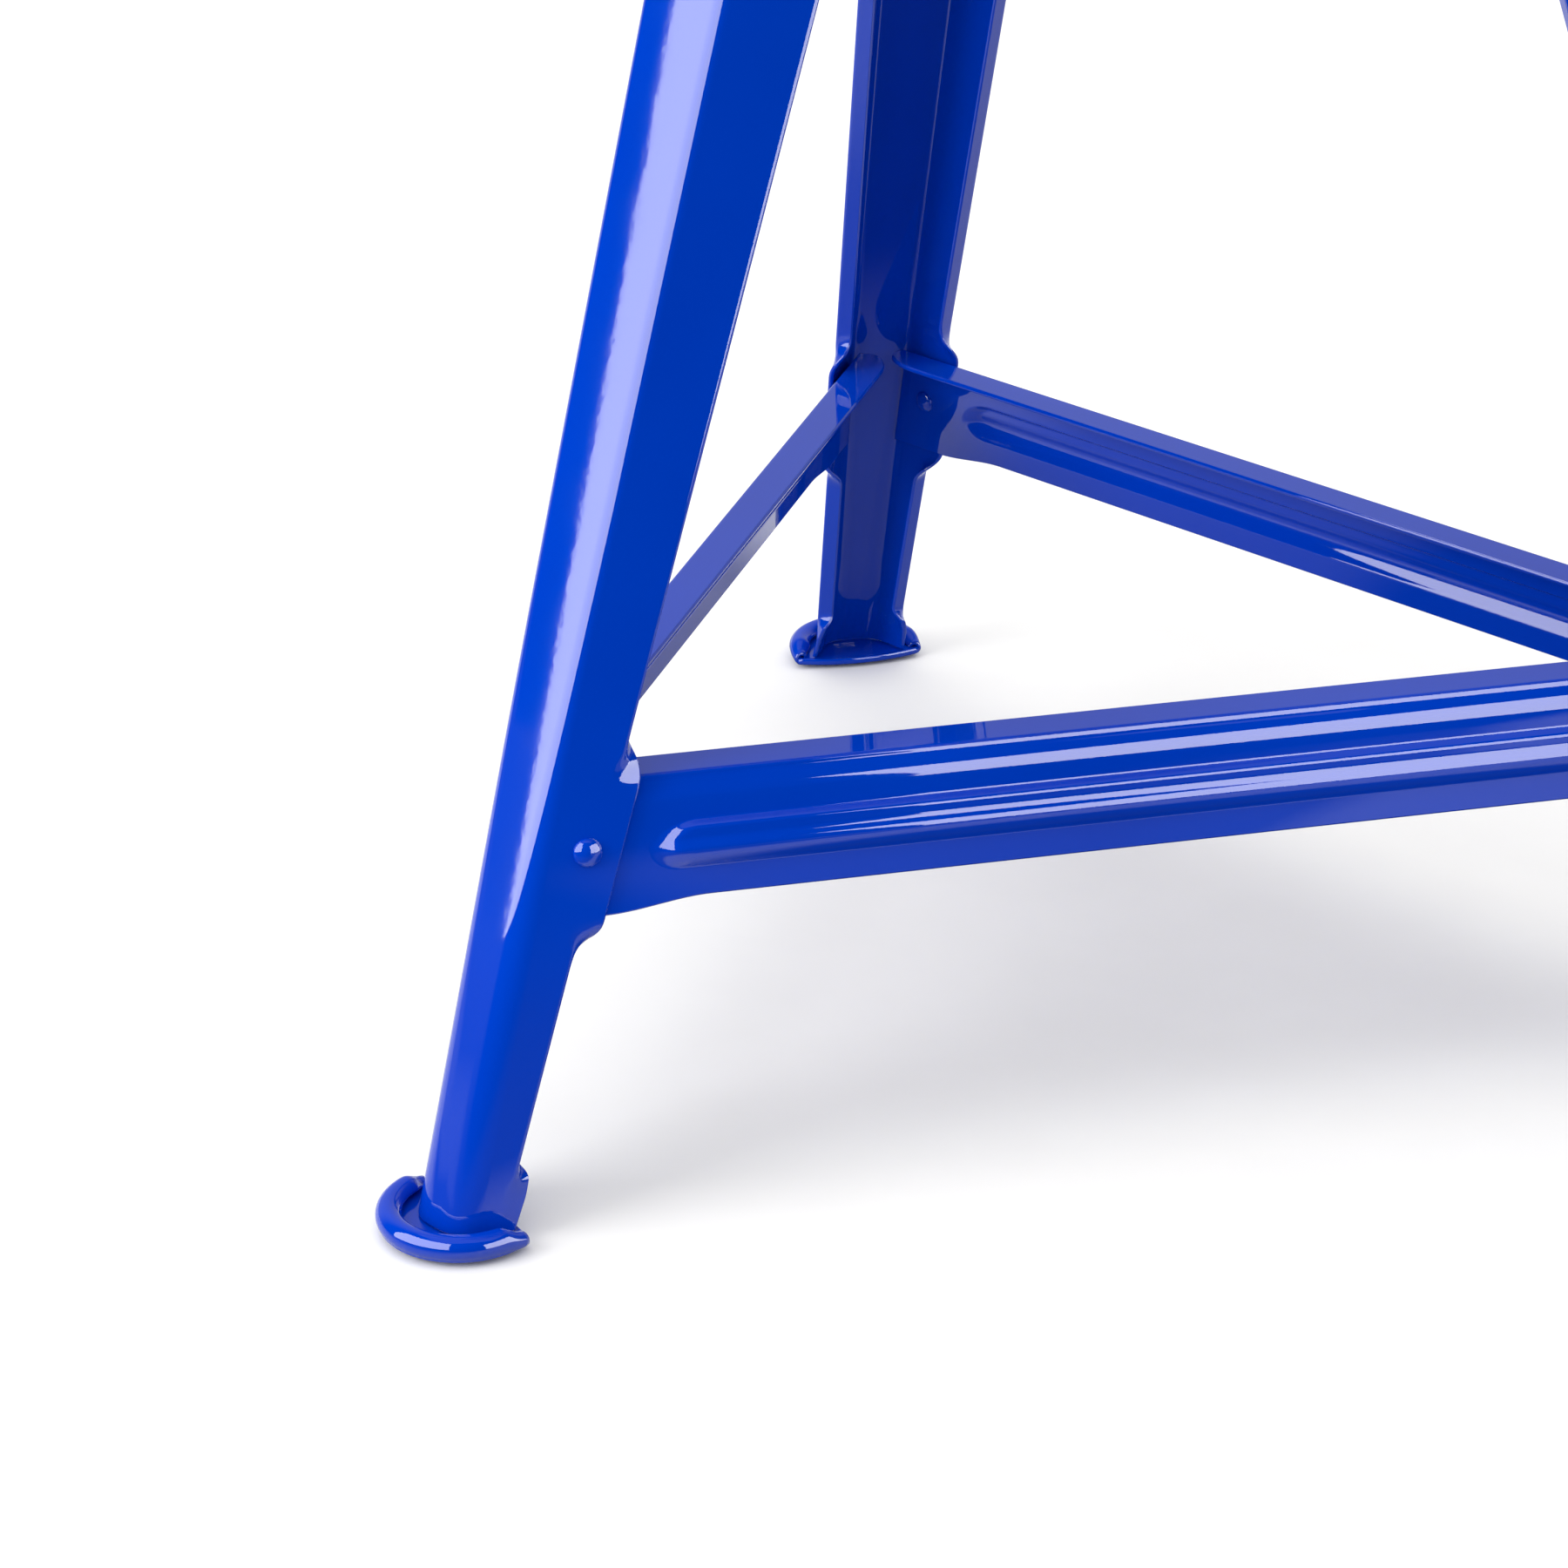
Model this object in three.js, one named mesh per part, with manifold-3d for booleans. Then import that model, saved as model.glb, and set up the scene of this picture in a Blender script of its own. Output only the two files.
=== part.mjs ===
// Three-legged workshop stool. Three pressed sheet-steel legs lean in towards a round wooden seat.
// Three low rails and three short rails under the seat are riveted between the legs, each foot has
// a pressed cap with a rolled rim, and wood screws hold the seat down to the upper rails.
// Millimetres, +Z up, floor at z = 0, one leg to the rear (+Y). The origin is the middle of the
// footprint's bounding box, so the stool's own axis stands a little in front of it.
import * as THREE from 'three';
import { mergeVertices } from 'three/addons/utils/BufferGeometryUtils.js';
import Module from 'manifold-3d';

const wasm = await Module();
wasm.setup();

const SHEET = 1.5;                // steel thickness of legs, rails and foot caps
const GAP = 0.3;                  // clearance between pieces that touch
const AXIS_Y = -33;               // the stool's axis, measured from the origin

// Legs: a flat nose facing out, two wings at 60 degrees to it, and a narrow lip on each wing.
const NOSE_RADIUS = 230;          // stool axis to nose face at floor level
const LEAN = 0.3;                 // inward travel of the nose per millimetre of height
const NOSE_HALF = { foot: 7.66, growth: 0.0171 };    // half width at the floor, growth with height
const WING_WIDTH = { foot: 12.5, growth: 0.0392 };   // nose edge to lip fold
const LIP = 4.8;                  // folded lip
const EAR = 5.2;                  // the same strip where it lies flat in the wing's plane
const LEG_BOTTOM = 3.8;
const LEG_TOP = 428;
const EARS = [                    // heights between which the lips open flat, and close again
  { opens: -10, flat: -5, folds: 6, closed: 20.5 },
  { opens: 69.5, flat: 80.5, folds: 113, closed: 128 },
  { opens: 384, flat: 394, folds: 500, closed: 501 },
];

// Rails: a web with an outward bead and a joggled top edge, and one flange turned inwards.
const RAIL_HEIGHT = 30.3;
const RAIL_TOPS = { lower: 114.7, upper: 430 };
const FLANGE = 11;
const JOGGLE = 2.4;               // how far the top band sits inboard of the web
const BEAD_RISE = 2.4;
const BEAD_EDGES = [12.1, 22.6];  // bead feet, measured down from the rail's top
const END_CLEARANCE = 2.4;        // rail end to the corner inside the leg's nose
const TONGUE = 16;                // length of the flange's rounded end
const BEAD_START = 6;             // first rise of the bead, beyond the edge of the ear
const END_DROP = 2.8;             // extra depth of the web where it meets the leg
const DROP_LENGTH = 24;           // length over which that depth runs out

// Rivets and screws
const RIVET = { depth: 16.1, fromFold: 3.4, shank: 2, head: 3.65, dome: 2.1, tail: 3.3, tailRise: 1.6 };
const SCREW = { shank: 1.8, head: 3.6, headRise: 2.2, intoSeat: 14, inset: 6.1, spacing: 28 };

// Foot caps and glides
const FOOT_RADIUS = 21.5;         // outer radius of the rolled rim
const FOOT_CENTRE = 219.5;        // stool axis to the rim's centre
const RIM = 3.5;                  // radius of the roll
const PLATE_BOTTOM = 2;
const FRONT_BULGE = 8.2;          // how far the plate swells towards the stool's axis
const GLIDE_RADIUS = 10;
const GLIDE_SHIFT = 4.5;          // glide centre, outwards from the rim's centre

// Seat
const SEAT_RADIUS = 175;
const SEAT_THICKNESS = 25;
const SEAT_EDGE = 6;              // edge rounding

const COS30 = Math.cos(Math.PI / 6);
const paint = { color: 0x003ab9, roughness: 0.2, metalness: 0 };
const beech = { color: 0xd8b283, roughness: 0.45, metalness: 0 };
const zinc = { color: 0xb9bec4, roughness: 0.3, metalness: 1 };
const rubber = { color: 0x18191b, roughness: 0.7, metalness: 0 };

const group = new THREE.Group();
group.position.y = AXIS_Y;

function smooth(x, from, to) {
  return THREE.MathUtils.smoothstep(x, from, to);
}

// The outline of a sheet whose outer face follows path: the material lies to the path's right.
function thicken(path, thickness) {
  const normals = path.slice(1).map((p, i) => {
    const along = p.clone().sub(path[i]).normalize();
    return new THREE.Vector2(along.y, -along.x);
  });
  const inner = path.map((p, i) => {
    const before = normals[Math.max(i - 1, 0)];
    const after = normals[Math.min(i, normals.length - 1)];
    const reach = thickness / (1 + before.dot(after));
    return p.clone().addScaledVector(before, reach).addScaledVector(after, reach);
  });
  return [...path, ...inner.reverse()];
}

// A closed solid through rings of equal point count. Each end ring is capped by a strip that joins
// its first half, the outer face, to its second half, which runs back along the inner face.
function loft(rings) {
  const count = rings[0].length;
  const position = rings.flat().flatMap((p) => p.toArray());
  const index = [];
  for (let r = 0; r + 1 < rings.length; r++) {
    for (let i = 0; i < count; i++) {
      const a = r * count + i;
      const b = r * count + (i + 1) % count;
      index.push(a, b, b + count, a, b + count, a + count);
    }
  }
  const last = (rings.length - 1) * count;
  for (let i = 0; i + 1 < count / 2; i++) {
    const [p, q, r, s] = [i, i + 1, count - 2 - i, count - 1 - i];
    index.push(p, r, q, p, s, r);
    index.push(last + p, last + q, last + r, last + p, last + r, last + s);
  }
  const geometry = new THREE.BufferGeometry();
  geometry.setAttribute('position', new THREE.Float32BufferAttribute(position, 3));
  geometry.setIndex(index);
  return facingOut(geometry);
}

function facingOut(geometry) {
  const p = geometry.getAttribute('position');
  const index = geometry.getIndex().array;
  const [a, b, c] = [new THREE.Vector3(), new THREE.Vector3(), new THREE.Vector3()];
  let volume = 0;
  for (let i = 0; i < index.length; i += 3) {
    [a, b, c].forEach((v, k) => v.fromBufferAttribute(p, index[i + k]));
    volume += a.dot(b.cross(c));
  }
  if (volume < 0) {
    for (let i = 0; i < index.length; i += 3) {
      [index[i + 1], index[i + 2]] = [index[i + 2], index[i + 1]];
    }
  }
  return geometry;
}

function toSolid(geometry) {
  const bare = geometry.clone();
  bare.deleteAttribute('normal');
  bare.deleteAttribute('uv');
  const merged = mergeVertices(bare, 1e-4);
  return new wasm.Manifold(new wasm.Mesh({
    numProp: 3,
    vertProperties: new Float32Array(merged.getAttribute('position').array),
    triVerts: new Uint32Array(merged.getIndex().array),
  }));
}

function toGeometry(solid) {
  const mesh = solid.getMesh();
  const geometry = new THREE.BufferGeometry();
  geometry.setAttribute('position', new THREE.BufferAttribute(new Float32Array(mesh.vertProperties), 3));
  geometry.setIndex(new THREE.BufferAttribute(new Uint32Array(mesh.triVerts), 1));
  return geometry;
}

function drill(geometry, drills) {
  return toGeometry(drills.reduce((solid, tool) => solid.subtract(toSolid(tool)), toSolid(geometry)));
}

function addPiece(name, geometry, look, compass = 0) {
  const mesh = new THREE.Mesh(geometry, new THREE.MeshStandardMaterial(look));
  mesh.name = name;
  mesh.rotation.z = -THREE.MathUtils.degToRad(compass);
  group.add(mesh);
}

// A leg's own frame has x across it and y outwards from the stool's axis; side is +1 or -1.
function wingAlong(side) {
  return new THREE.Vector2(side / 2, -COS30);
}

function wingInward(side) {
  return new THREE.Vector2(-side * COS30, -0.5);
}

function noseEdge(z, side) {
  return new THREE.Vector2(side * (NOSE_HALF.foot + NOSE_HALF.growth * z), NOSE_RADIUS - LEAN * z);
}

function wingWidth(z) {
  return WING_WIDTH.foot + WING_WIDTH.growth * z;
}

function earOpening(z) {
  return Math.max(...EARS.map((ear) => smooth(z, ear.opens, ear.flat) - smooth(z, ear.folds, ear.closed)));
}

function legSection(z) {
  const open = earOpening(z);
  const fold = (1 - open) * Math.PI / 2;
  const lip = LIP + (EAR - LIP) * open;
  const half = (side) => {
    const edge = noseEdge(z, side);
    const bend = edge.clone().addScaledVector(wingAlong(side), wingWidth(z));
    const end = bend.clone()
      .addScaledVector(wingAlong(side), lip * Math.cos(fold))
      .addScaledVector(wingInward(side), lip * Math.sin(fold));
    return [end, bend, edge];
  };
  return thicken([...half(-1), ...half(1).reverse()], SHEET);
}

// Directions and distances of a wing's outer face, shared by the leg's frame and the rail's frame.
const WING_NORMAL_RISE = 0.5 * LEAN - COS30 * NOSE_HALF.growth;

function wingPlane(z) {
  return COS30 * noseEdge(z, 1).x + 0.5 * noseEdge(z, 1).y;
}

function noseAlongRail(z) {
  return COS30 * noseEdge(z, 1).y - 0.5 * noseEdge(z, 1).x;
}

function rivetDistance(z) {
  return wingWidth(z) - RIVET.fromFold;
}

// A cylinder standing on a point, along a direction; the drill's own axis is +Y before it is turned.
function placed(geometry, point, direction) {
  const turn = new THREE.Quaternion().setFromUnitVectors(new THREE.Vector3(0, 1, 0), direction);
  return geometry.applyQuaternion(turn).translate(point.x, point.y, point.z);
}

function rivetSeat(z, side) {
  const across = noseEdge(z, side).addScaledVector(wingAlong(side), rivetDistance(z));
  const outward = wingInward(side).negate();
  return {
    point: new THREE.Vector3(across.x, across.y, z),
    direction: new THREE.Vector3(outward.x, outward.y, WING_NORMAL_RISE).normalize(),
  };
}

function rivetHole() {
  return new THREE.CylinderGeometry(RIVET.shank + GAP, RIVET.shank + GAP, 12, 10);
}

function makeLeg() {
  const steps = [0, 0.3, 0.7, 1];
  const shoulders = EARS.flatMap((ear) => [
    ...steps.map((t) => ear.opens + (ear.flat - ear.opens) * t),
    ...steps.map((t) => ear.folds + (ear.closed - ear.folds) * t),
  ]);
  const heights = [LEG_BOTTOM, ...shoulders.filter((z) => z > LEG_BOTTOM && z < LEG_TOP), LEG_TOP];
  const rings = heights.map((z) => legSection(z).map((p) => new THREE.Vector3(p.x, p.y, z)));
  const body = loft(rings);
  const holes = Object.values(RAIL_TOPS).flatMap((top) => [-1, 1].map((side) => {
    const seat = rivetSeat(top - RIVET.depth, side);
    return placed(rivetHole(), seat.point, seat.direction);
  }));
  return drill(body, holes);
}

// A rail's own frame has x along it and y outwards from the stool's axis. Its section is drawn
// down the outer face, at a distance from the rail's end that shapes the tongue, bead and end drop.
function railSection(top, fromEnd) {
  const earEdge = wingWidth(top - RIVET.depth) + EAR - END_CLEARANCE;
  const bead = BEAD_RISE * smooth(fromEnd, earEdge + BEAD_START, earEdge + BEAD_START + 5);
  const drop = END_DROP * (1 - smooth(fromEnd, earEdge, earEdge + DROP_LENGTH));
  const round = Math.min(fromEnd / TONGUE, 1);
  const flange = 2 + (FLANGE - 2) * Math.sqrt(1 - (1 - round) ** 2);
  const [beadTop, beadFoot] = BEAD_EDGES;
  const face = (down, out) => {
    const z = top - down;
    return new THREE.Vector2(wingPlane(z) - SHEET - GAP + out, z);
  };
  const path = [
    face(0, -JOGGLE - flange),
    face(0, -JOGGLE),
    face(3.8, -JOGGLE),
    face(5.8, 0),
    face(beadTop, 0),
    face(beadTop + 2.4, bead * 0.9),
    face(beadFoot - 2.4, bead * 0.9),
    face(beadFoot, 0),
    face(RAIL_HEIGHT + drop, 0),
  ];
  path[0].y = top;
  return thicken(path, SHEET);
}

function makeRail(top) {
  const earEdge = wingWidth(top - RIVET.depth) + EAR - END_CLEARANCE;
  const beadRise = [0, 2.5, 5].map((d) => earEdge + BEAD_START + d);
  const dropSteps = [0, 0.7, 1].map((t) => earEdge + DROP_LENGTH * t);
  const tongue = [0, 0.1, 0.4, 1].map((t) => TONGUE * t);
  const stations = [...tongue, ...dropSteps, ...beadRise].sort((a, b) => a - b);
  const ring = (fromEnd, side) => railSection(top, fromEnd).map((p) => {
    const end = noseAlongRail(p.y) - END_CLEARANCE;
    return new THREE.Vector3(side * (end - fromEnd), p.x, p.y);
  });
  const rings = [
    ...stations.map((d) => ring(d, -1)),
    ...stations.toReversed().map((d) => ring(d, 1)),
  ];
  const body = loft(rings);
  const rivetHeight = top - RIVET.depth;
  const along = noseAlongRail(rivetHeight) - rivetDistance(rivetHeight);
  const outward = new THREE.Vector3(0, 1, WING_NORMAL_RISE).normalize();
  const holes = [-1, 1].map((side) => {
    const point = new THREE.Vector3(side * along, wingPlane(rivetHeight), rivetHeight);
    return placed(rivetHole(), point, outward);
  });
  if (top === RAIL_TOPS.upper) {
    for (const side of [-1, 1]) {
      const hole = new THREE.CylinderGeometry(SCREW.shank + GAP, SCREW.shank + GAP, 6, 10);
      holes.push(placed(hole, screwPoint(side), new THREE.Vector3(0, 0, 1)));
    }
  }
  return drill(body, holes);
}

function screwPoint(side) {
  const corner = wingPlane(RAIL_TOPS.upper) - SHEET - GAP - JOGGLE;
  return new THREE.Vector3(side * SCREW.spacing, corner - SCREW.inset, RAIL_TOPS.upper);
}

// A rivet's axis runs outwards from the wing's outer face.
function makeRivet() {
  const grip = 2 * SHEET + 2 * GAP;
  const dome = [0, 30, 60].map((degrees) => {
    const angle = THREE.MathUtils.degToRad(degrees);
    return new THREE.Vector2(RIVET.head * Math.cos(angle), GAP + RIVET.dome * Math.sin(angle));
  });
  const profile = [
    new THREE.Vector2(0, -grip - RIVET.tailRise),
    new THREE.Vector2(RIVET.tail * 0.7, -grip - RIVET.tailRise * 0.8),
    new THREE.Vector2(RIVET.tail, -grip),
    new THREE.Vector2(RIVET.shank, -grip),
    new THREE.Vector2(RIVET.shank, GAP),
    ...dome,
    new THREE.Vector2(0, GAP + RIVET.dome),
  ];
  return new THREE.LatheGeometry(profile, 10);
}

function makeScrew() {
  const under = -SHEET - GAP;
  const profile = [
    new THREE.Vector2(0, under - SCREW.headRise),
    new THREE.Vector2(SCREW.head * 0.7, under - SCREW.headRise),
    new THREE.Vector2(SCREW.head, under - SCREW.headRise / 2),
    new THREE.Vector2(SCREW.head, under),
    new THREE.Vector2(SCREW.shank, under),
    new THREE.Vector2(SCREW.shank, SCREW.intoSeat - 3),
    new THREE.Vector2(0, SCREW.intoSeat),
  ];
  return new THREE.LatheGeometry(profile, 10);
}

// Foot: a plate swollen towards the stool's axis, and a roll round its outer side that tapers at its tips.
function makeFootCap() {
  const plate = new THREE.Shape();
  const halfWidth = FOOT_RADIUS - RIM;
  const frontRadius = (halfWidth ** 2 + FRONT_BULGE ** 2) / (2 * FRONT_BULGE);
  const sweep = Math.asin(halfWidth / frontRadius);
  plate.absarc(0, 0, halfWidth, 0, Math.PI, false);
  plate.absarc(0, frontRadius - FRONT_BULGE, frontRadius, -Math.PI / 2 - sweep, -Math.PI / 2 + sweep, false);
  const disc = new THREE.ExtrudeGeometry(plate, { depth: SHEET, bevelEnabled: false, curveSegments: 20 });
  disc.translate(0, FOOT_CENTRE, PLATE_BOTTOM);
  const tip = 0.21;
  const steps = 20;
  const rings = [];
  for (let i = 0; i <= steps; i++) {
    const angle = -tip + (Math.PI + 2 * tip) * i / steps;
    const nearest = Math.min(i, steps - i) / steps;
    const radius = RIM * (0.3 + 0.7 * smooth(nearest, -0.02, 0.12));
    const middle = FOOT_RADIUS - radius;
    const ring = [];
    for (let k = 0; k < 10; k++) {
      const turn = 2 * Math.PI * k / 10;
      const reach = middle + radius * Math.cos(turn);
      ring.push(new THREE.Vector3(
        reach * Math.cos(angle),
        FOOT_CENTRE + reach * Math.sin(angle),
        PLATE_BOTTOM - 1 + radius + radius * Math.sin(turn),
      ));
    }
    rings.push(ring);
  }
  const roll = loft(rings);
  return toGeometry(toSolid(disc).add(toSolid(roll)));
}

function makeGlide() {
  const height = PLATE_BOTTOM - GAP;
  const profile = [
    new THREE.Vector2(0, 0),
    new THREE.Vector2(GLIDE_RADIUS - 0.5, 0),
    new THREE.Vector2(GLIDE_RADIUS, 0.5),
    new THREE.Vector2(GLIDE_RADIUS, height),
    new THREE.Vector2(0, height),
  ];
  const glide = new THREE.LatheGeometry(profile, 20);
  return glide.rotateX(Math.PI / 2).translate(0, FOOT_CENTRE + GLIDE_SHIFT, 0);
}

function makeSeat(screws) {
  const bottom = RAIL_TOPS.upper + GAP;
  const corner = (height, up) => [0, 1, 2].map((i) => {
    const angle = (Math.PI / 4) * i;
    const out = up ? Math.cos(angle) : Math.sin(angle);
    const rise = up ? Math.sin(angle) : -Math.cos(angle);
    return new THREE.Vector2(SEAT_RADIUS - SEAT_EDGE + SEAT_EDGE * out, height + SEAT_EDGE * rise);
  });
  const profile = [
    new THREE.Vector2(0, 0),
    ...corner(SEAT_EDGE, false),
    ...corner(SEAT_THICKNESS - SEAT_EDGE, true),
    new THREE.Vector2(0, SEAT_THICKNESS),
  ];
  const board = new THREE.LatheGeometry(profile, 48);
  board.rotateX(Math.PI / 2).translate(0, 0, bottom);
  const depth = SCREW.intoSeat + 1;
  const holes = screws.map((point) => {
    const hole = new THREE.CylinderGeometry(SCREW.shank + GAP, SCREW.shank + GAP, 2 * depth, 10);
    return placed(hole, point, new THREE.Vector3(0, 0, 1));
  });
  return drill(board, holes);
}

const LEGS = { rear: 0, front_right: 120, front_left: 240 };
const RAILS = { right: 60, front: 180, left: 300 };
const SIDES = { left: -1, right: 1 };

for (const [place, compass] of Object.entries(LEGS)) {
  addPiece(`leg_${place}`, makeLeg(), paint, compass);
  addPiece(`foot_cap_${place}`, makeFootCap(), paint, compass);
  addPiece(`glide_${place}`, makeGlide(), rubber, compass);
  for (const [level, top] of Object.entries(RAIL_TOPS)) {
    for (const [hand, side] of Object.entries(SIDES)) {
      const seat = rivetSeat(top - RIVET.depth, side);
      const rivet = placed(makeRivet(), seat.point, seat.direction);
      addPiece(`rivet_${level}_${place}_${hand}`, rivet, paint, compass);
    }
  }
}

const screwPoints = [];
for (const [place, compass] of Object.entries(RAILS)) {
  for (const [level, top] of Object.entries(RAIL_TOPS)) {
    addPiece(`rail_${level}_${place}`, makeRail(top), paint, compass);
  }
  Object.values(SIDES).forEach((side, i) => {
    const screw = placed(makeScrew(), screwPoint(side), new THREE.Vector3(0, 0, 1));
    addPiece(`seat_screw_${place}_${i + 1}`, screw, zinc, compass);
    const turn = -THREE.MathUtils.degToRad(compass);
    screwPoints.push(screwPoint(side).applyAxisAngle(new THREE.Vector3(0, 0, 1), turn));
  });
}

addPiece('seat', makeSeat(screwPoints), beech);

export default group;
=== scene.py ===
# Looks of a three-legged workshop stool: glossy blue powder-coated sheet steel, a beech seat, zinc-plated
# screws and black rubber glides. Lengths are in millimetres until a mesh is made; the scene is in metres.
import math
import bpy
import numpy as np
from mathutils import Matrix, Vector


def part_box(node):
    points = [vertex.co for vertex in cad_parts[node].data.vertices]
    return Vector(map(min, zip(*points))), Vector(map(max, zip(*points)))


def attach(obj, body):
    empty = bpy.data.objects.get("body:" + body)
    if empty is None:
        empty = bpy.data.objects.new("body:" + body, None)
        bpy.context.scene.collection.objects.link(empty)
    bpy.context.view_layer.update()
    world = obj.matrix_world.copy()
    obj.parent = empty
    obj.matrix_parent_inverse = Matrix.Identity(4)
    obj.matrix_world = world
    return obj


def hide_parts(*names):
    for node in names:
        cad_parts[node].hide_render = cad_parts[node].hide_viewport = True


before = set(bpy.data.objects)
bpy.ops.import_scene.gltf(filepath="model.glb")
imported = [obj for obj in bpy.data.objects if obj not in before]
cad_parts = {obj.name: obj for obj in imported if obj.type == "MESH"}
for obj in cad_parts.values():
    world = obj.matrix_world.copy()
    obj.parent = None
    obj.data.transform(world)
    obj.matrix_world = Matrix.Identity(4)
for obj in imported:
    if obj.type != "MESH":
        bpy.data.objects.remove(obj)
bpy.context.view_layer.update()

MM = 0.001
COS30 = math.cos(math.radians(30))
SHEET = 1.5


def box_mm(node):
    low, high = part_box(node)
    return np.array(low) / MM, np.array(high) / MM


# Sizes read from the frame
SEAT_LOW, SEAT_HIGH = box_mm("seat")
AXIS_Y = (SEAT_LOW[1] + SEAT_HIGH[1]) / 2
LEG_LOW, LEG_HIGH = box_mm("leg_rear")
CAP_LOW, CAP_HIGH = box_mm("foot_cap_rear")
GLIDE_LOW, GLIDE_HIGH = box_mm("glide_rear")
RAIL_TOPS = {level: box_mm(f"rail_{level}_front")[1][2] for level in ("lower", "upper")}

# Leg section: a flat nose facing out, wings at 60 degrees to it and a lip on each wing
LEAN = 0.3
NOSE_RADIUS = 230.0
NOSE_HALF = (7.66, 0.0171)
WING_WIDTH = (12.5, 0.0392)
LIP, EAR = 4.8, 5.2
EARS = ((68.5, 81.5, 112, 128.5), (384, 394, 500, 501))

# Rail section
RAIL_HEIGHT = 30.3
FLANGE = 11.0
JOGGLE = 2.5
BEAD_RISE = 2.8
BEAD_MIDDLE = 17.4
BEAD_UP, BEAD_DOWN, BEAD_ALONG = 6.1, 5.8, 11.0
END_CLEARANCE = 2.4
TONGUE = 16.0             # length of the flange's rounded end
TIP_FLANGE = 2.9
BEAD_START = 7.5
END_DROP = 2.8
DROP_LENGTH = 26.0
LAP = 0.1

RIVET_DEPTH = 16.1
RIVET_FROM_FOLD = 3.4

LEGS = {"rear": 0, "front_right": 120, "front_left": 240}
RAILS = {"right": 60, "front": 180, "left": 300}


def smooth(x, start, stop):
    t = np.clip((x - start) / (stop - start), 0, 1)
    return t * t * (3 - 2 * t)


def smoother(x, start, stop):
    t = np.clip((x - start) / (stop - start), 0, 1)
    return t ** 3 * (6 * t * t - 15 * t + 10)


def ease_out(x, start, stop):
    """Rises at once from start and levels off towards stop."""
    return 1 - (1 - np.clip((x - start) / (stop - start), 0, 1)) ** 2


# ---------------------------------------------------------------- materials

STAVE_WIDTH = 0.058       # metres


def new_material(name):
    material = bpy.data.materials.new(name)
    material.use_nodes = True
    nodes = material.node_tree.nodes
    return material, nodes, material.node_tree.links, nodes["Principled BSDF"]


def object_noise(nodes, links, scale, detail=2.0, stretch=(1, 1, 1)):
    coords = nodes.new("ShaderNodeTexCoord")
    mapping = nodes.new("ShaderNodeMapping")
    mapping.inputs["Scale"].default_value = stretch
    noise = nodes.new("ShaderNodeTexNoise")
    noise.inputs["Scale"].default_value = scale
    noise.inputs["Detail"].default_value = detail
    links.new(coords.outputs["Object"], mapping.inputs["Vector"])
    links.new(mapping.outputs["Vector"], noise.inputs["Vector"])
    return noise.outputs["Fac"]


def ramp(nodes, links, factor, stops):
    node = nodes.new("ShaderNodeValToRGB")
    elements = node.color_ramp.elements
    while len(elements) < len(stops):
        elements.new(0.5)
    for element, (position, colour) in zip(elements, stops):
        element.position = position
        element.color = (*colour, 1)
    links.new(factor, node.inputs["Fac"])
    return node.outputs["Color"]


def value_range(nodes, links, factor, low, high):
    node = nodes.new("ShaderNodeMapRange")
    node.inputs["To Min"].default_value = low
    node.inputs["To Max"].default_value = high
    links.new(factor, node.inputs["Value"])
    return node.outputs["Result"]


def fade(nodes, links, value, start, stop):
    """0 at start, 1 at stop, with smooth ends; start may be the larger."""
    node = nodes.new("ShaderNodeMapRange")
    node.interpolation_type = "SMOOTHSTEP"
    node.inputs["From Min"].default_value = start
    node.inputs["From Max"].default_value = stop
    links.new(value, node.inputs["Value"])
    return node.outputs["Result"]


def arithmetic(nodes, links, operation, *values):
    node = nodes.new("ShaderNodeMath")
    node.operation = operation
    for socket, value in zip(node.inputs, values):
        if isinstance(value, (int, float)):
            socket.default_value = value
        else:
            links.new(value, socket)
    return node.outputs[0]


def bump(nodes, links, shader, height, distance, strength=1.0, under=None):
    node = nodes.new("ShaderNodeBump")
    node.inputs["Distance"].default_value = distance
    node.inputs["Strength"].default_value = strength
    links.new(height, node.inputs["Height"])
    if under is not None:
        links.new(under, node.inputs["Normal"])
    links.new(node.outputs["Normal"], shader.inputs["Normal"])
    return node.outputs["Normal"]


def powder_coat():
    material, nodes, links, shader = new_material("blue_powder_coat")
    shader.inputs["IOR"].default_value = 1.5
    tone = object_noise(nodes, links, 9, 3)
    shade = ramp(nodes, links, tone, [(0.3, (0.0, 0.036, 0.44)), (0.7, (0.0, 0.044, 0.50))])
    links.new(shade, shader.inputs["Base Color"])
    patches = object_noise(nodes, links, 60, 2)
    links.new(value_range(nodes, links, patches, 0.012, 0.035), shader.inputs["Roughness"])
    peel = object_noise(nodes, links, 420, 1.5)
    sag = object_noise(nodes, links, 70, 1)
    coarse = bump(nodes, links, shader, sag, 0.00012, 0.03)
    bump(nodes, links, shader, peel, 0.00001, 0.15, coarse)
    return material


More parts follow.
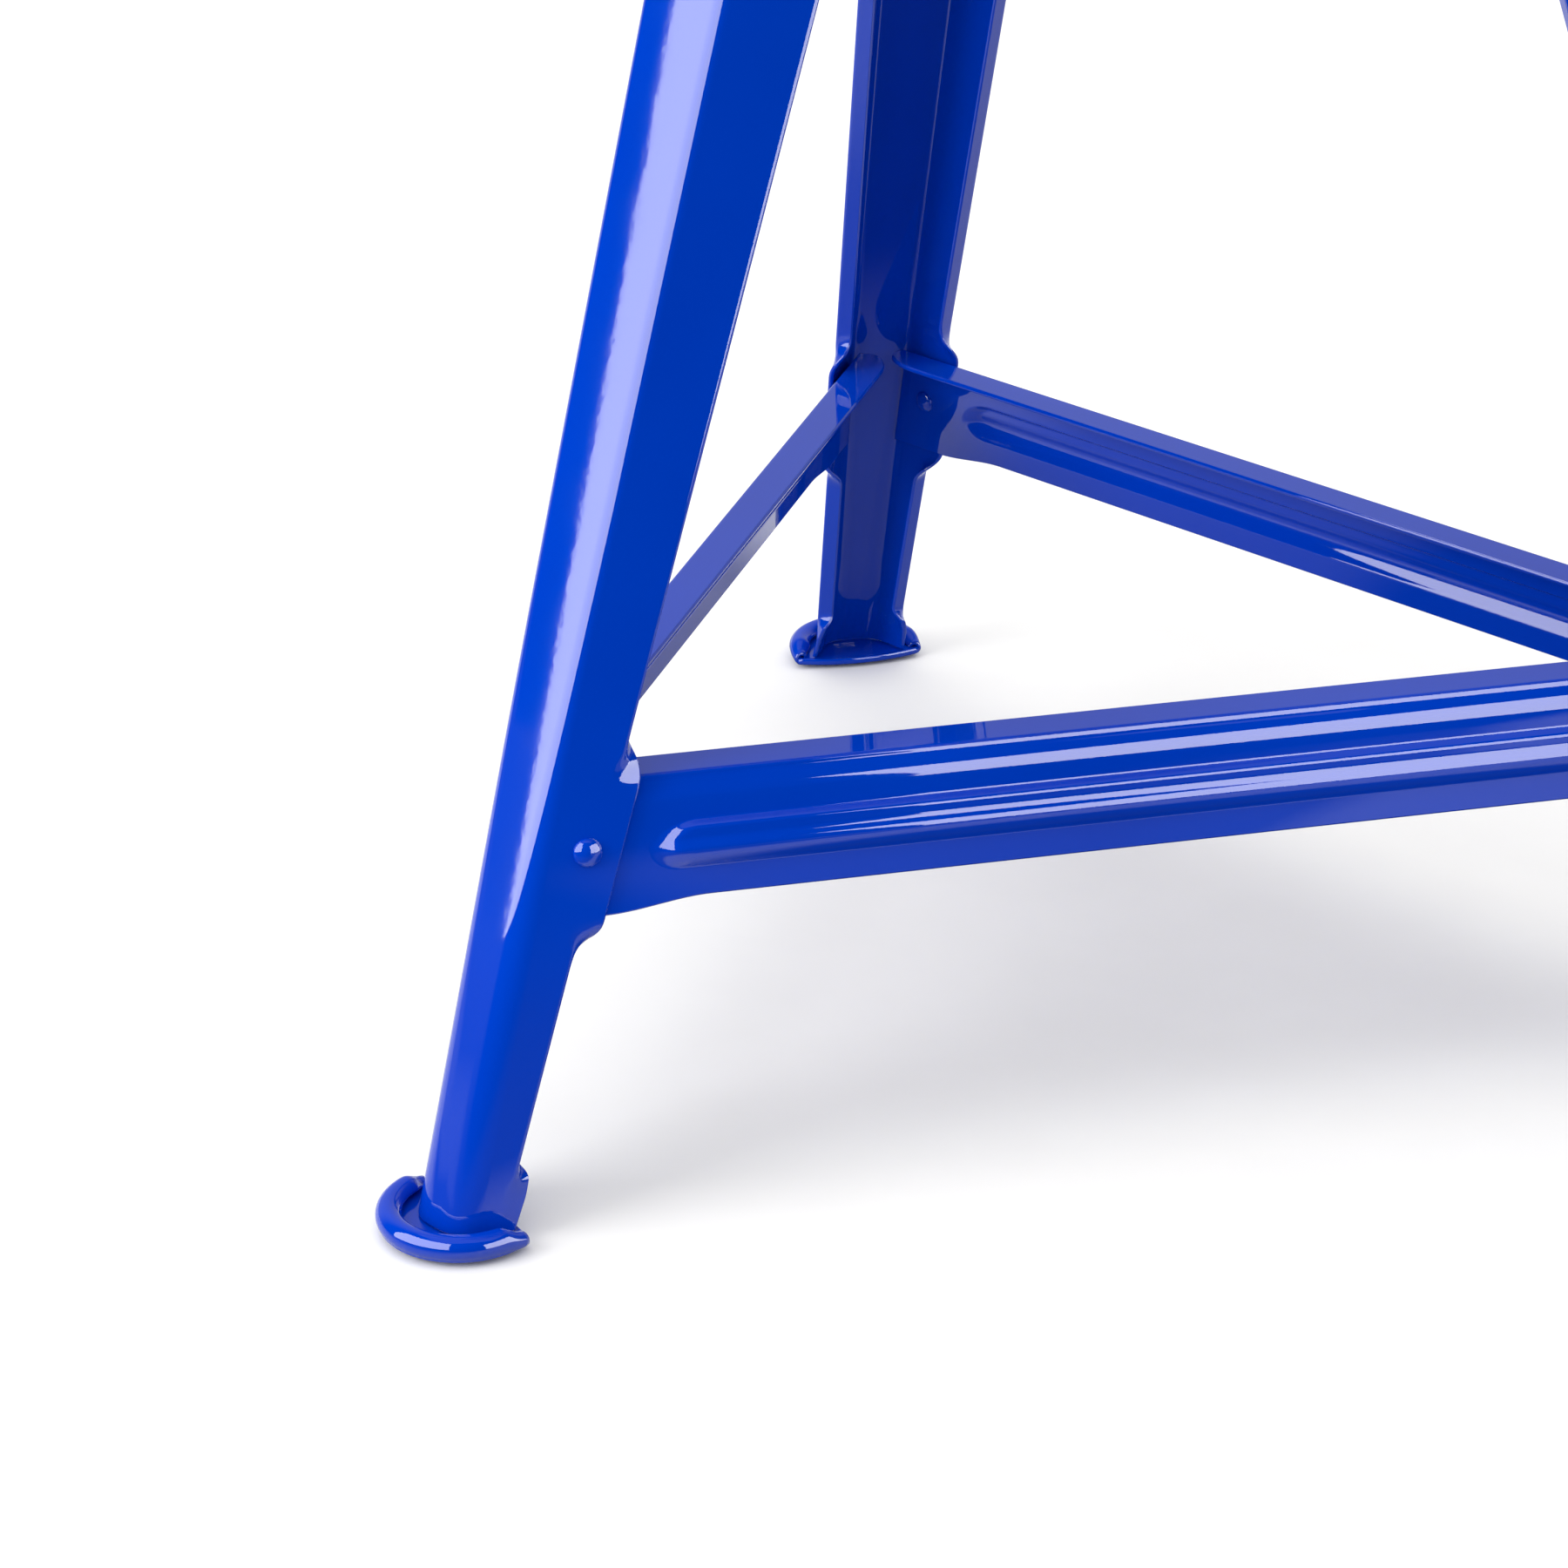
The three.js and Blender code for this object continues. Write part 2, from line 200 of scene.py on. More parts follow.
def beech_wood():
    """Glued staves along X: each has its own grain and tint, and a fine dark joint line beside it."""
    material, nodes, links, shader = new_material("beech")
    shader.inputs["Specular IOR Level"].default_value = 0.15
    coords = nodes.new("ShaderNodeTexCoord")
    split = nodes.new("ShaderNodeSeparateXYZ")
    links.new(coords.outputs["Object"], split.inputs["Vector"])
    stave = arithmetic(nodes, links, "DIVIDE", split.outputs["Y"], STAVE_WIDTH)
    random = nodes.new("ShaderNodeTexWhiteNoise")
    random.noise_dimensions = "1D"
    links.new(arithmetic(nodes, links, "FLOOR", stave), random.inputs["W"])
    shift = nodes.new("ShaderNodeVectorMath")
    shift.operation = "MULTIPLY_ADD"
    shift.inputs[1].default_value = (3, 3, 3)
    links.new(random.outputs["Color"], shift.inputs[0])
    links.new(coords.outputs["Object"], shift.inputs[2])
    stretch = nodes.new("ShaderNodeMapping")
    stretch.inputs["Scale"].default_value = (1.6, 22, 22)
    links.new(shift.outputs[0], stretch.inputs["Vector"])
    rings = nodes.new("ShaderNodeTexNoise")
    rings.inputs["Scale"].default_value = 3.2
    rings.inputs["Detail"].default_value = 5
    rings.inputs["Distortion"].default_value = 0.4
    links.new(stretch.outputs["Vector"], rings.inputs["Vector"])
    grain = ramp(nodes, links, rings.outputs["Fac"], [
        (0.30, (0.50, 0.29, 0.13)), (0.5, (0.66, 0.43, 0.22)), (0.72, (0.74, 0.52, 0.29))])
    flecks_map = nodes.new("ShaderNodeMapping")
    flecks_map.inputs["Scale"].default_value = (90, 900, 500)
    links.new(shift.outputs[0], flecks_map.inputs["Vector"])
    flecks = nodes.new("ShaderNodeTexVoronoi")
    flecks.inputs["Scale"].default_value = 1.6
    links.new(flecks_map.outputs["Vector"], flecks.inputs["Vector"])
    fleck_mask = ramp(nodes, links, flecks.outputs["Distance"], [(0.08, (1, 1, 1)), (0.2, (0, 0, 0))])
    dark = nodes.new("ShaderNodeMix")
    dark.data_type = "RGBA"
    dark.blend_type = "MULTIPLY"
    dark.inputs["B"].default_value = (0.72, 0.6, 0.5, 1)
    links.new(fleck_mask, dark.inputs["Factor"])
    links.new(grain, dark.inputs["A"])
    tint = nodes.new("ShaderNodeHueSaturation")
    links.new(value_range(nodes, links, random.outputs["Value"], 0.86, 1.08), tint.inputs["Value"])
    links.new(dark.outputs["Result"], tint.inputs["Color"])
    joint = arithmetic(nodes, links, "PINGPONG", arithmetic(nodes, links, "FRACT", stave), 0.5)
    line = ramp(nodes, links, joint, [(0.0, (0.55, 0.5, 0.45)), (0.006, (1, 1, 1))])
    seam = nodes.new("ShaderNodeMix")
    seam.data_type = "RGBA"
    seam.blend_type = "MULTIPLY"
    seam.inputs["Factor"].default_value = 1
    links.new(tint.outputs["Color"], seam.inputs["A"])
    links.new(line, seam.inputs["B"])
    links.new(seam.outputs["Result"], shader.inputs["Base Color"])
    links.new(value_range(nodes, links, rings.outputs["Fac"], 0.34, 0.46), shader.inputs["Roughness"])
    bump(nodes, links, shader, rings.outputs["Fac"], 0.0001, 0.3)
    return material


def zinc_plate():
    material, nodes, links, shader = new_material("zinc_plate")
    shader.inputs["Metallic"].default_value = 1
    tone = object_noise(nodes, links, 300, 3)
    shade = ramp(nodes, links, tone, [(0.35, (0.42, 0.43, 0.45)), (0.65, (0.62, 0.62, 0.6))])
    links.new(shade, shader.inputs["Base Color"])
    links.new(value_range(nodes, links, tone, 0.22, 0.42), shader.inputs["Roughness"])
    bump(nodes, links, shader, object_noise(nodes, links, 1800, 2), 0.00002, 0.4)
    return material


def black_rubber():
    material, nodes, links, shader = new_material("black_rubber")
    tone = object_noise(nodes, links, 160, 4)
    shade = ramp(nodes, links, tone, [(0.3, (0.012, 0.012, 0.013)), (0.7, (0.028, 0.028, 0.03))])
    links.new(shade, shader.inputs["Base Color"])
    links.new(value_range(nodes, links, tone, 0.55, 0.8), shader.inputs["Roughness"])
    bump(nodes, links, shader, object_noise(nodes, links, 1500, 2), 0.00005, 0.6)
    return material


MATERIALS = {
    "blue_powder_coat": powder_coat(),
    "beech": beech_wood(),
    "zinc_plate": zinc_plate(),
    "black_rubber": black_rubber(),
}


# ---------------------------------------------------------------- mesh helpers

END_SUPPORT = 0.12        # distance of a path's second point from its end, which keeps the shading flat
EDGE_ANGLES = np.radians([-72, -48, -24, 0, 24, 48, 72])    # points round a sheet's cut edge
EDGE_SETBACK = 0.3        # cosine at which that edge starts


def add_piece(name, vertices, faces, slot, node, compass=0.0):
    """A mesh made about the stool's axis, turned to its compass bearing, standing for one CAD node."""
    turn = -math.radians(compass)
    x, y, z = np.asarray(vertices, float).T
    placed = np.stack([
        x * math.cos(turn) - y * math.sin(turn),
        x * math.sin(turn) + y * math.cos(turn) + AXIS_Y,
        z,
    ], 1) * MM
    mesh = bpy.data.meshes.new(name)
    mesh.from_pydata(placed.tolist(), [], faces)
    mesh.validate()
    mesh.shade_smooth()
    mesh.materials.append(MATERIALS[slot])
    piece = bpy.data.objects.new(name, mesh)
    bpy.context.scene.collection.objects.link(piece)
    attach(piece, "root")
    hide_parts(node)
    return piece


def loft_faces(rings, count, closed_ends=True):
    """Quads between rings of count points; strips that pair point i with count - 1 - i close each end."""
    faces = []
    for r in range(rings - 1):
        for i in range(count):
            j = (i + 1) % count
            a, b = r * count, (r + 1) * count
            faces.append((a + i, b + i, b + j, a + j))
    if closed_ends:
        last = (rings - 1) * count
        for i in range(count // 2 - 1):
            p, q, r, s = i, i + 1, count - 2 - i, count - 1 - i
            faces.append((p, q, r, s))
            faces.append((last + s, last + r, last + q, last + p))
    return faces


def facing_out(vertices, faces):
    vertices = np.asarray(vertices, float)
    volume = 0.0
    for face in faces:
        a = vertices[face[0]]
        for k in range(1, len(face) - 1):
            volume += a @ np.cross(vertices[face[k]], vertices[face[k + 1]])
    return faces if volume > 0 else [face[::-1] for face in faces]


def corner_path(corners, setbacks, steps=7, support=0.35):
    """A smooth path through corners, each rounded over its setback, with a support point either side."""
    first, last = corners[1] - corners[0], corners[-2] - corners[-1]
    path = [corners[0], corners[0] + END_SUPPORT * first / np.linalg.norm(first)]
    for before, corner, after, setback in zip(corners, corners[1:], corners[2:], setbacks):
        into = (corner - before) / np.linalg.norm(corner - before)
        away = (after - corner) / np.linalg.norm(after - corner)
        start, stop = corner - setback * into, corner + setback * away
        path.append(start - support * into)
        for t in np.linspace(0, 1, steps):
            path.append((1 - t) ** 2 * start + 2 * t * (1 - t) * corner + t ** 2 * stop)
        path.append(stop + support * away)
    path += [corners[-1] + END_SUPPORT * last / np.linalg.norm(last), corners[-1]]
    return np.array(path)


def right_normals(path):
    along = np.diff(path, axis=0)
    along /= np.linalg.norm(along, axis=1)[:, None]
    normals = np.stack([along[:, 1], -along[:, 0]], 1)
    before = np.vstack([normals[:1], normals])
    after = np.vstack([normals, normals[-1:]])
    total = before + after
    return total / (1 + (before * after).sum(1))[:, None]


def thicken(path, thickness, edge=0.6, normals=None):
    """The closed outline of a sheet with rounded edges; the material lies to the path's right."""
    normals = right_normals(path) if normals is None else normals
    inner = path + thickness * normals

    def round_edge(outer, across, outwards):
        middle = outer + across / 2
        return [
            middle + across / 2 * math.sin(a) + outwards * edge * (math.cos(a) - EDGE_SETBACK)
            for a in EDGE_ANGLES
        ]

    first = path[0] - path[1]
    first /= np.linalg.norm(first)
    last = path[-1] - path[-2]
    last /= np.linalg.norm(last)
    tail = round_edge(path[-1], inner[-1] - path[-1], last)
    head = round_edge(inner[0], path[0] - inner[0], first)
    return np.vstack([path, tail, inner[::-1], head])


def balanced(outline):
    """The outline of a sheet, started in the middle of its first edge, as a loft's end caps need."""
    return np.roll(outline, len(EDGE_ANGLES) // 2 + 1, axis=0)


# ---------------------------------------------------------------- legs

def nose_edge(z, side):
    return np.array([side * (NOSE_HALF[0] + NOSE_HALF[1] * z), NOSE_RADIUS - LEAN * z])


def wing_width(z):
    return WING_WIDTH[0] + WING_WIDTH[1] * z


def wing_along(side):
    return np.array([side / 2, -COS30])


def wing_inward(side):
    return np.array([-side * COS30, -0.5])


def ear_opening(z):
    """How far the lips are unfolded: 0 folded in, 1 flat in the wing's plane."""
    at_foot = 1 - 0.55 * smooth(z, 15, 20.5) - 0.45 * smooth(z, 3, 19)
    return max(at_foot, *(smoother(z, a, b) - smoother(z, c, d) for a, b, c, d in EARS))


def leg_ring(z):
    opening = ear_opening(z)
    fold = (1 - opening) * math.pi / 2
    lip = LIP + (EAR - LIP) * opening - 2.4 * (1 - smooth(z, 3, 17))

    def half(side):
        edge = nose_edge(z, side)
        bend = edge + wing_width(z) * wing_along(side)
        end = bend + lip * (math.cos(fold) * wing_along(side) + math.sin(fold) * wing_inward(side))
        return [end, bend, edge]

    corners = np.array(half(-1) + half(1)[::-1])
    nose_bend = 2.3 + 3.7 * (1 - smooth(z, 0, 160))
    lip_bend = min(1.0 + 1.9 * smooth(opening, 0.2, 0.9), lip - 1.3)
    path = corner_path(corners, (lip_bend, nose_bend, nose_bend, lip_bend))
    outline = balanced(thicken(path, SHEET))
    return np.column_stack([outline, np.full(len(outline), z)])


def leg_heights():
    bottom, top = LEG_LOW[2], LEG_HIGH[2]
    shoulders = [np.linspace(a - 1, b + 1, 18) for ear in EARS for a, b in (ear[:2], ear[2:])]
    shoulders.append(np.linspace(11, 21, 16))
    plain = np.arange(bottom, top, 15.0)
    heights = np.concatenate([*shoulders, plain, [bottom, bottom + 0.2, top - 0.2, top]])
    heights = np.unique(np.round(heights[(heights >= bottom) & (heights <= top)], 2))
    keep = [heights[0]]
    for z in heights[1:]:
        if z - keep[-1] > 0.12:
            keep.append(z)
    return keep


def add_legs():
    rings = [leg_ring(z) for z in leg_heights()]
    vertices = np.vstack(rings)
    faces = facing_out(vertices, loft_faces(len(rings), len(rings[0])))
    for place, compass in LEGS.items():
        node = f"leg_{place}"
        add_piece(f"folded_{node}", vertices, faces, "blue_powder_coat", node, compass)


# ---------------------------------------------------------------- rails

def wing_plane(z):
    x, y = nose_edge(z, 1)
    return COS30 * x + 0.5 * y


def nose_along_rail(z):
    x, y = nose_edge(z, 1)
    return COS30 * y - 0.5 * x


def bead_height(down, beyond):
    """The pressed bead: a steep upper flank, a crest leaning out downwards, a gentle lower flank and ends."""
    across = down - BEAD_MIDDLE
    distance = math.hypot(across / (BEAD_UP if across < 0 else BEAD_DOWN), beyond / BEAD_ALONG)
    from_up = math.degrees(math.atan2(beyond / BEAD_ALONG, -across / BEAD_UP))
    crest = 0.70 - 0.42 * smooth(from_up, 10, 90) - 0.22 * smooth(from_up, 100, 175)
    step = 0.64 + 0.36 * smooth(down, BEAD_MIDDLE - 2.4, BEAD_MIDDLE + 0.4)
    endwise = smooth(beyond / BEAD_ALONG, 0, 0.8)
    rise = (1 - endwise) * ease_out(1 - distance, 0, 1 - crest) + endwise * smooth(1 - distance, 0, 1 - crest)
    return BEAD_RISE * step * rise


def rail_path(top, from_end):
    """The rail's outer surface in (distance from the axis, height), and the direction of its thickness."""
    ear_edge = wing_width(top - RIVET_DEPTH) + EAR - END_CLEARANCE
    beyond = max(ear_edge + BEAD_START + BEAD_ALONG - from_end, 0)
    drop = END_DROP * (1 - smooth(from_end, ear_edge, ear_edge + DROP_LENGTH))
    short = 1 - min(from_end / TONGUE, 1)
    flange = TIP_FLANGE + (FLANGE - TIP_FLANGE) * math.sqrt(max(1 - short ** 2, 0))

    def face(down, out):
        return np.array([wing_plane(top - down) - SHEET - LAP + out, top - down])

    corner = face(0, -JOGGLE)
    start = np.array([corner[0] - flange, top])
    bend = corner_path(np.array([start, corner, face(1.5, -JOGGLE)]), (1.0,), steps=7, support=0.1)[:-2]
    downs = [*np.arange(1.75, 6.0, 0.27), 7, 9, 10.8]
    downs += list(BEAD_MIDDLE + np.linspace(-BEAD_UP - 0.1, -BEAD_UP + 2.0, 12))
    downs += list(BEAD_MIDDLE + np.linspace(-3.4, BEAD_DOWN + 0.1, 24))
    downs += [23.6, 25.5, 28.0, RAIL_HEIGHT - 0.5 + drop, RAIL_HEIGHT - 0.12 + drop, RAIL_HEIGHT + drop]
    plain = [*bend, *(face(down, -JOGGLE) for down in downs)]
    lifts = [0] * len(bend)
    lifts += [JOGGLE * ease_out(down, 1.2, 6.3) + bead_height(down, beyond) for down in downs]
    path = np.array(plain) + np.column_stack([lifts, np.zeros(len(plain))])
    return path, right_normals(np.array(plain))


def rail_stations(top):
    ear_edge = wing_width(top - RIVET_DEPTH) + EAR - END_CLEARANCE
    tongue = TONGUE * (1 - np.cos(np.linspace(0, math.pi / 2, 16)))
    bead = np.arange(ear_edge + BEAD_START - 0.6, ear_edge + BEAD_START + BEAD_ALONG + 0.4, 0.32)
    drop = np.linspace(ear_edge, ear_edge + DROP_LENGTH, 18)
    stations = np.unique(np.round(np.concatenate([tongue, [0.3], bead, drop]), 2))
    return [s for i, s in enumerate(stations) if i == 0 or s - stations[i - 1] > 0.1]


def rail_mesh(top):
    stations = rail_stations(top)

    def ring(from_end, side):
        path, normals = rail_path(top, from_end)
        outline = balanced(thicken(path, SHEET, normals=normals))
        ends = np.array([nose_along_rail(z) for z in outline[:, 1]]) - END_CLEARANCE
        return np.column_stack([side * (ends - from_end), outline])

    rings = [ring(s, -1) for s in stations] + [ring(s, 1) for s in stations[::-1]]
    vertices = np.vstack(rings)
    return vertices, facing_out(vertices, loft_faces(len(rings), len(rings[0])))


def add_rails():
    for level, top in RAIL_TOPS.items():
        vertices, faces = rail_mesh(top)
        for place, compass in RAILS.items():
            node = f"rail_{level}_{place}"
            add_piece(f"beaded_{node}", vertices, faces, "blue_powder_coat", node, compass)


# ---------------------------------------------------------------- round pieces

def lathe(profile, segments=48):
    """A closed body turned about +Z from (radius, height) points that start and end on the axis."""
    profile = np.asarray(profile, float)
    angles = np.linspace(0, 2 * math.pi, segments, endpoint=False)
    inner = profile[1:-1]
    vertices = [(r * math.cos(a), r * math.sin(a), z) for a in angles for r, z in inner]
    vertices += [(0, 0, profile[0][1]), (0, 0, profile[-1][1])]
    count, bottom, top = len(inner), len(vertices) - 2, len(vertices) - 1
    faces = []
    for s in range(segments):
        a, b = s * count, (s + 1) % segments * count
        faces.append((bottom, b, a))
        faces.append((top, a + count - 1, b + count - 1))
        for i in range(count - 1):
            faces.append((a + i, b + i, b + i + 1, a + i + 1))
    vertices = np.array(vertices)
    return vertices, facing_out(vertices, faces)


def aimed(vertices, point, direction):
    direction = np.asarray(direction, float) / np.linalg.norm(direction)
    side = np.cross([0, 0, 1], direction)
    side = np.array([1.0, 0, 0]) if np.linalg.norm(side) < 1e-6 else side / np.linalg.norm(side)
    up = np.cross(direction, side)
    return np.asarray(vertices) @ np.stack([side, up, direction]) + np.asarray(point)


def arc(centre, radius, start, stop, steps):
    angles = np.radians(np.linspace(start, stop, steps))
    return [(centre[0] + radius[0] * math.cos(a), centre[1] + radius[1] * math.sin(a)) for a in angles]


def rivet_profile():
    grip = 2 * SHEET + LAP
    tail = arc((0, -grip), (3.3, 1.7), -90, -12, 9)
    dome = arc((0, 0.05), (3.65, 2.1), 6, 90, 12)
    return [*tail, (3.3, -grip + 0.2), (2, -grip + 0.3), (2, -0.4), (3.5, -0.3), (3.66, 0.0), *dome]


def add_rivets():
    vertices, faces = lathe(rivet_profile(), 40)
    rise = 0.5 * LEAN - COS30 * NOSE_HALF[1]
    for place, compass in LEGS.items():
        for level, top in RAIL_TOPS.items():
            for hand, side in (("left", -1), ("right", 1)):
                z = top - RIVET_DEPTH
                across = nose_edge(z, side) + (wing_width(z) - RIVET_FROM_FOLD) * wing_along(side)
                outward = -wing_inward(side)
                seated = aimed(vertices, (*across, z), (*outward, rise))
                node = f"rivet_{level}_{place}_{hand}"
                add_piece(f"domed_{node}", seated, faces, "blue_powder_coat", node, compass)


# ---------------------------------------------------------------- feet

FOOT_RADIUS = (CAP_HIGH[0] - CAP_LOW[0]) / 2
FOOT_CENTRE = CAP_HIGH[1] - AXIS_Y - FOOT_RADIUS
FRONT_BULGE = FOOT_CENTRE - (CAP_LOW[1] - AXIS_Y)
ROLL = (CAP_HIGH[2] - CAP_LOW[2]) / 2
PLATE_TOP = LEG_LOW[2] - 0.3
ROLL_SHEET, ROLL_EDGE = 1.1, 0.45
ROLL_TIP = math.radians(11)       # how far each tip runs past the rim's middle
ROLL_SWEEP = (-100, 170)          # degrees of curl, from under the plate up and over
PLATE_TIP = math.radians(13)


def roll_rings():
    """The rim: sheet curled up and over, open towards the leg, running out at its two tips."""
    rings = []
    steps = 72
    sweep = np.radians(np.linspace(*ROLL_SWEEP, 34))[::-1]
    for i in range(steps + 1):
        angle = -ROLL_TIP + (math.pi + 2 * ROLL_TIP) * i / steps
        near = min(i, steps - i) / steps
        radius = ROLL * (0.62 + 0.38 * smooth(near, 0, 0.1))
        centre = (FOOT_RADIUS - radius, CAP_LOW[2] + radius)
        path = np.array([(centre[0] + radius * math.cos(a), centre[1] + radius * math.sin(a)) for a in sweep])
        outline = balanced(thicken(path, ROLL_SHEET, ROLL_EDGE))
        rings.append(np.column_stack([
            outline[:, 0] * math.cos(angle), FOOT_CENTRE + outline[:, 0] * math.sin(angle), outline[:, 1]]))
    return rings


def plate_outline():
    """An arc inside the rolled rim, and a flatter arc swelling towards the stool's axis."""
    outer = FOOT_RADIUS - 0.7
    corner = outer * math.cos(PLATE_TIP), -outer * math.sin(PLATE_TIP)
    depth = FRONT_BULGE - outer * math.sin(PLATE_TIP)
    radius = (corner[0] ** 2 + depth ** 2) / (2 * depth)
    half = math.asin(corner[0] / radius)
    sweep = np.linspace(-PLATE_TIP, math.pi + PLATE_TIP, 60)
    rim = [(outer * math.cos(a), outer * math.sin(a)) for a in sweep]
    front = [
        (radius * math.sin(a), radius - FRONT_BULGE - radius * math.cos(a))
        for a in np.linspace(-half, half, 40)[1:-1]
    ]
    return np.array(rim + front)


def plate_mesh():
    """The floor plate, with rounded edges, as a stack of outlines drawn in towards its middle."""
    outline = plate_outline()
    low, high = CAP_LOW[2] + 0.3, PLATE_TOP
    rounding = (high - low) / 2
    turns = np.radians(np.linspace(-90, 90, 9))
    edge = [(1 - rounding * (1 - math.cos(a)) / FOOT_RADIUS, (low + high) / 2 + rounding * math.sin(a))
            for a in turns]
    layers = [(0.5, low), *edge, (0.93, high - 0.15), (0.8, high - 0.3), (0.5, high - 0.3)]
    vertices = [
        (x * scale, FOOT_CENTRE + y * scale, z) for scale, z in layers for x, y in outline
    ]
    vertices += [(0, FOOT_CENTRE, layers[0][1]), (0, FOOT_CENTRE, layers[-1][1])]
    count = len(outline)
    faces = loft_faces(len(layers), count, closed_ends=False)
    last = (len(layers) - 1) * count
    for i in range(count):
        j = (i + 1) % count
        faces.append((len(vertices) - 2, i, j))
        faces.append((len(vertices) - 1, last + j, last + i))
    return np.array(vertices), facing_out(vertices, faces)


def add_feet():
    rings = roll_rings()
    roll = np.vstack(rings)
    roll_faces = facing_out(roll, loft_faces(len(rings), len(rings[0])))
    plate, plate_faces = plate_mesh()
    vertices = np.vstack([plate, roll])
    faces = plate_faces + [tuple(i + len(plate) for i in face) for face in roll_faces]
    height = GLIDE_HIGH[2] - GLIDE_LOW[2]
    radius = (GLIDE_HIGH[0] - GLIDE_LOW[0]) / 2
    glide, glide_faces = lathe([
        (0, 0.25), (radius * 0.55, 0.25), (radius * 0.6, 0.0),
        *arc((radius - 0.6, 0.6), (0.6, 0.6), -90, 0, 6),
        (radius, height - 0.2), (radius - 0.2, height), (0, height),
    ], 64)
    glide = glide + [0, (GLIDE_LOW[1] + GLIDE_HIGH[1]) / 2 - AXIS_Y, GLIDE_LOW[2]]
    for place, compass in LEGS.items():
        cap, pad = f"foot_cap_{place}", f"glide_{place}"
        add_piece(f"rolled_{cap}", vertices, faces, "blue_powder_coat", cap, compass)
        add_piece(f"rubber_{pad}", glide, glide_faces, "black_rubber", pad, compass)


# ---------------------------------------------------------------- seat and its screws

def add_seat():
    radius = (SEAT_HIGH[0] - SEAT_LOW[0]) / 2
    bottom, top = SEAT_LOW[2], SEAT_HIGH[2]
    edge_top, edge_bottom = 7.0, 4.0
    profile = [
        (0, bottom), (radius * 0.5, bottom), (radius - edge_bottom - 1, bottom),
        *arc((radius - edge_bottom, bottom + edge_bottom), (edge_bottom, edge_bottom), -90, 0, 9),
        *arc((radius - edge_top, top - edge_top), (edge_top, edge_top), 0, 90, 13),
        (radius - edge_top - 1, top), (radius * 0.7, top), (radius * 0.4, top), (0, top),
    ]
    vertices, faces = lathe(profile, 160)
    add_piece("turned_seat", vertices, faces, "beech", "seat")


def screw_mesh():
    """A pan head with a cross recess in its face, and its shank, pointing up into the seat."""
    head, rise, shank, length, recess = 3.6, 2.2, 1.8, 15.5, 1.3
    segments = 64
    turns = np.linspace(0, 2 * math.pi, segments, endpoint=False)

    def face_height(x, y):
        arm = min(abs(x), abs(y)) < 0.42 and max(abs(x), abs(y)) < 2.0
        return -rise + 0.9 * (math.hypot(x, y) / head) ** 4 + (recess if arm else 0)

    vertices = []
    for r in (0.2, 0.35, 0.7, 1.05, 1.4, 1.75, 2.1, 2.4, 2.8, 3.1, 3.35, 3.5, head):
        circle = [(r * math.cos(a), r * math.sin(a)) for a in turns]
        vertices += [(x, y, face_height(x, y)) for x, y in circle]
    for r, z in ((head, -0.15), (head - 0.15, 0), (shank, 0), (shank, length - 3), (0.4, length)):
        vertices += [(r * math.cos(a), r * math.sin(a), z) for a in turns]
    rings = len(vertices) // segments
    faces = loft_faces(rings, segments, closed_ends=False)
    last = (rings - 1) * segments
    vertices += [(0, 0, -rise + recess), (0, 0, length)]
    for i in range(segments):
        j = (i + 1) % segments
        faces.append((rings * segments, j, i))
        faces.append((rings * segments + 1, last + i, last + j))
    vertices = np.array(vertices)
    return vertices, facing_out(vertices, faces)


def add_screws():
    vertices, faces = screw_mesh()
    for place, compass in RAILS.items():
        for number in (1, 2):
            node = f"seat_screw_{place}_{number}"
            low, high = box_mm(node)
            middle = (low + high) / 2
            under_flange = RAIL_TOPS["upper"] - SHEET - 0.05
            at = (middle[0], middle[1] - AXIS_Y, under_flange)
            add_piece(f"pan_head_{node}", vertices + at, faces, "zinc_plate", node)


# ---------------------------------------------------------------- stage

VIEW_BEARING = 14.19      # degrees clockwise from the rear leg's bearing
VIEW_DOWN = 24.49
LENS = 98.68
CAMERA_FROM_AXIS = (-0.3402, -1.0310, 0.5449)


def add_camera():
    data = bpy.data.cameras.new("camera")
    data.lens = LENS
    data.sensor_width = 36
    data.clip_start = 0.05
    camera = bpy.data.objects.new("camera", data)
    camera.location = (CAMERA_FROM_AXIS[0], CAMERA_FROM_AXIS[1] + AXIS_Y * MM, CAMERA_FROM_AXIS[2])
    camera.rotation_euler = (math.radians(90 - VIEW_DOWN), 0, -math.radians(VIEW_BEARING))
    bpy.context.scene.collection.objects.link(camera)
    bpy.context.scene.camera = camera


def in_view_frame(right, forward, up):
    """A point given from the stool's axis, to the right of and away from the camera, in the row frame."""
    bearing = math.radians(VIEW_BEARING)
    x = right * math.cos(bearing) + forward * math.sin(bearing)
    y = -right * math.sin(bearing) + forward * math.cos(bearing)
    return (x, y + AXIS_Y * MM, up)


def add_softbox(name, place, facing, size, power, top=(0, 0, 1), seen_by=("diffuse", "glossy")):
    """A rectangular light at a place in the view's frame, facing a direction, its upper side towards top."""
    data = bpy.data.lights.new(name, "AREA")
    data.shape = "RECTANGLE"
    data.size, data.size_y = size
    data.energy = power
    light = bpy.data.objects.new(name, data)
    origin = Vector(in_view_frame(0, 0, 0))
    back = -(Vector(in_view_frame(*facing)) - origin).normalized()
    side = (Vector(in_view_frame(*top)) - origin).cross(back).normalized()
    turn = Matrix((side, back.cross(side), back)).transposed()
    light.location = in_view_frame(*place)
    light.rotation_euler = turn.to_euler()
    light.visible_diffuse = "diffuse" in seen_by
    light.visible_glossy = "glossy" in seen_by
    bpy.context.scene.collection.objects.link(light)


# Painted shade: diffuse rays see this share of the floor as black, so less light bounces onto the stool.
DIMMED_BOUNCE = 0.45      # share of the floor's bounced light that the stool doesn't get


